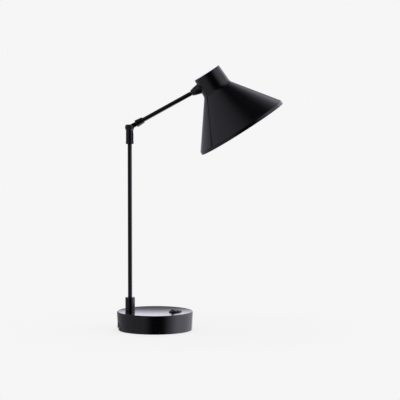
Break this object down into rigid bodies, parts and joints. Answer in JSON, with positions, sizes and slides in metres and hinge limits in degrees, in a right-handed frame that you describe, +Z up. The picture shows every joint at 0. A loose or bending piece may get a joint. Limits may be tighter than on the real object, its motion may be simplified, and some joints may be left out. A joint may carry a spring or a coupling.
{
  "type": "desk lamp",
  "caption": "Desk lamp with a cone shade on a short tilting arm, an upright post with a swivel knuckle, and a weighted round base with a round rocker switch.",
  "frame": {"origin": "centre of the base's underside, on the table", "axes": "+Z up, +X from the cord inlet towards the lamp's head, +Y to the back"},
  "size_m": [0.3078, 0.178, 0.4912],
  "materials": {
    "black_paint": "satin",
    "zinc_steel": "satin",
    "black_steel": "satin",
    "cast_iron": "matte",
    "pad_rubber": "matte",
    "black_plastic": "satin",
    "switch_plastic": "gloss",
    "brass": "satin",
    "white_nylon": "satin",
    "natural_nylon": "satin",
    "lead_sleeve": "satin",
    "bulb_metal": "satin",
    "bulb_plastic": "satin",
    "bulb_globe": "satin"
  },
  "bodies": {
    "base": {"base_shell": "black_paint", "bottom_plate": "zinc_steel", "foot_pad": "pad_rubber", "plate_screws": "zinc_steel", "ballast": "cast_iron", "inlet_plate": "black_plastic", "cord_grommet": "pad_rubber", "cord_clamp_base": "black_plastic", "cord_clamp_bar": "black_plastic", "clamp_screws": "zinc_steel", "terminal_block": "white_nylon", "terminal_screws": "brass", "switch_leads": "lead_sleeve", "post_lead": "lead_sleeve", "switch_housing": "switch_plastic", "switch_contacts": "brass", "post_collar": "black_paint", "collar_grub_screw": "black_steel", "post_tube": "black_paint", "post_washer": "zinc_steel", "post_nut": "zinc_steel", "post_top_ring": "black_paint", "swivel_spindle": "zinc_steel", "swivel_washer": "zinc_steel", "swivel_nut": "zinc_steel", "swivel_stop_pin": "zinc_steel"},
    "rocker": {"switch_rocker": "switch_plastic"},
    "swivel": {"knuckle_body": "black_paint", "pivot_bolt": "black_steel", "pivot_nut": "black_steel", "friction_washers": "natural_nylon"},
    "arm": {"arm_socket": "black_paint", "arm_tube": "black_paint", "arm_lead": "lead_sleeve", "ball_stem": "black_steel"},
    "ball_cage": {"ball_seat": "natural_nylon"},
    "head": {"head_cup": "black_paint", "cup_plug": "zinc_steel", "stud_washer": "zinc_steel", "stud_nut": "zinc_steel", "shade": "black_paint", "holder_bracket": "zinc_steel", "holder_nipple": "zinc_steel", "holder_nut": "zinc_steel", "lampholder_cap": "black_plastic", "lampholder_body": "black_plastic", "lampholder_sleeve": "brass", "holder_contact": "brass", "head_leads": "lead_sleeve", "bulb_cap": "bulb_metal", "bulb_collar": "bulb_plastic", "bulb_globe": "bulb_globe"}
  },
  "joints": [
    {"name": "switch_rock", "type": "hinge", "parent": "base", "child": "rocker", "pos_m": [0.038, 0, 0.03243], "axis": [0, -1, 0], "range_deg": [0, 22]},
    {"name": "post_swivel", "type": "hinge", "parent": "base", "child": "swivel", "pos_m": [-0.046, 0, 0.353], "axis": [0, 0, 1], "range_deg": [-160, 160]},
    {"name": "arm_tilt", "type": "hinge", "parent": "swivel", "child": "arm", "pos_m": [-0.046, 0, 0.3765], "axis": [0, -1, 0], "range_deg": [-55, 61]},
    {"name": "head_twist", "type": "hinge", "parent": "arm", "child": "ball_cage", "pos_m": [0.07388, 0, 0.4429], "axis": [0.8748, 0, 0.4845], "range_deg": [-160, 160]},
    {"name": "head_tilt", "type": "hinge", "parent": "ball_cage", "child": "head", "pos_m": [0.07388, 0, 0.4429], "axis": [0, -1, 0], "range_deg": [-7.5, 7.5]}
  ]
}
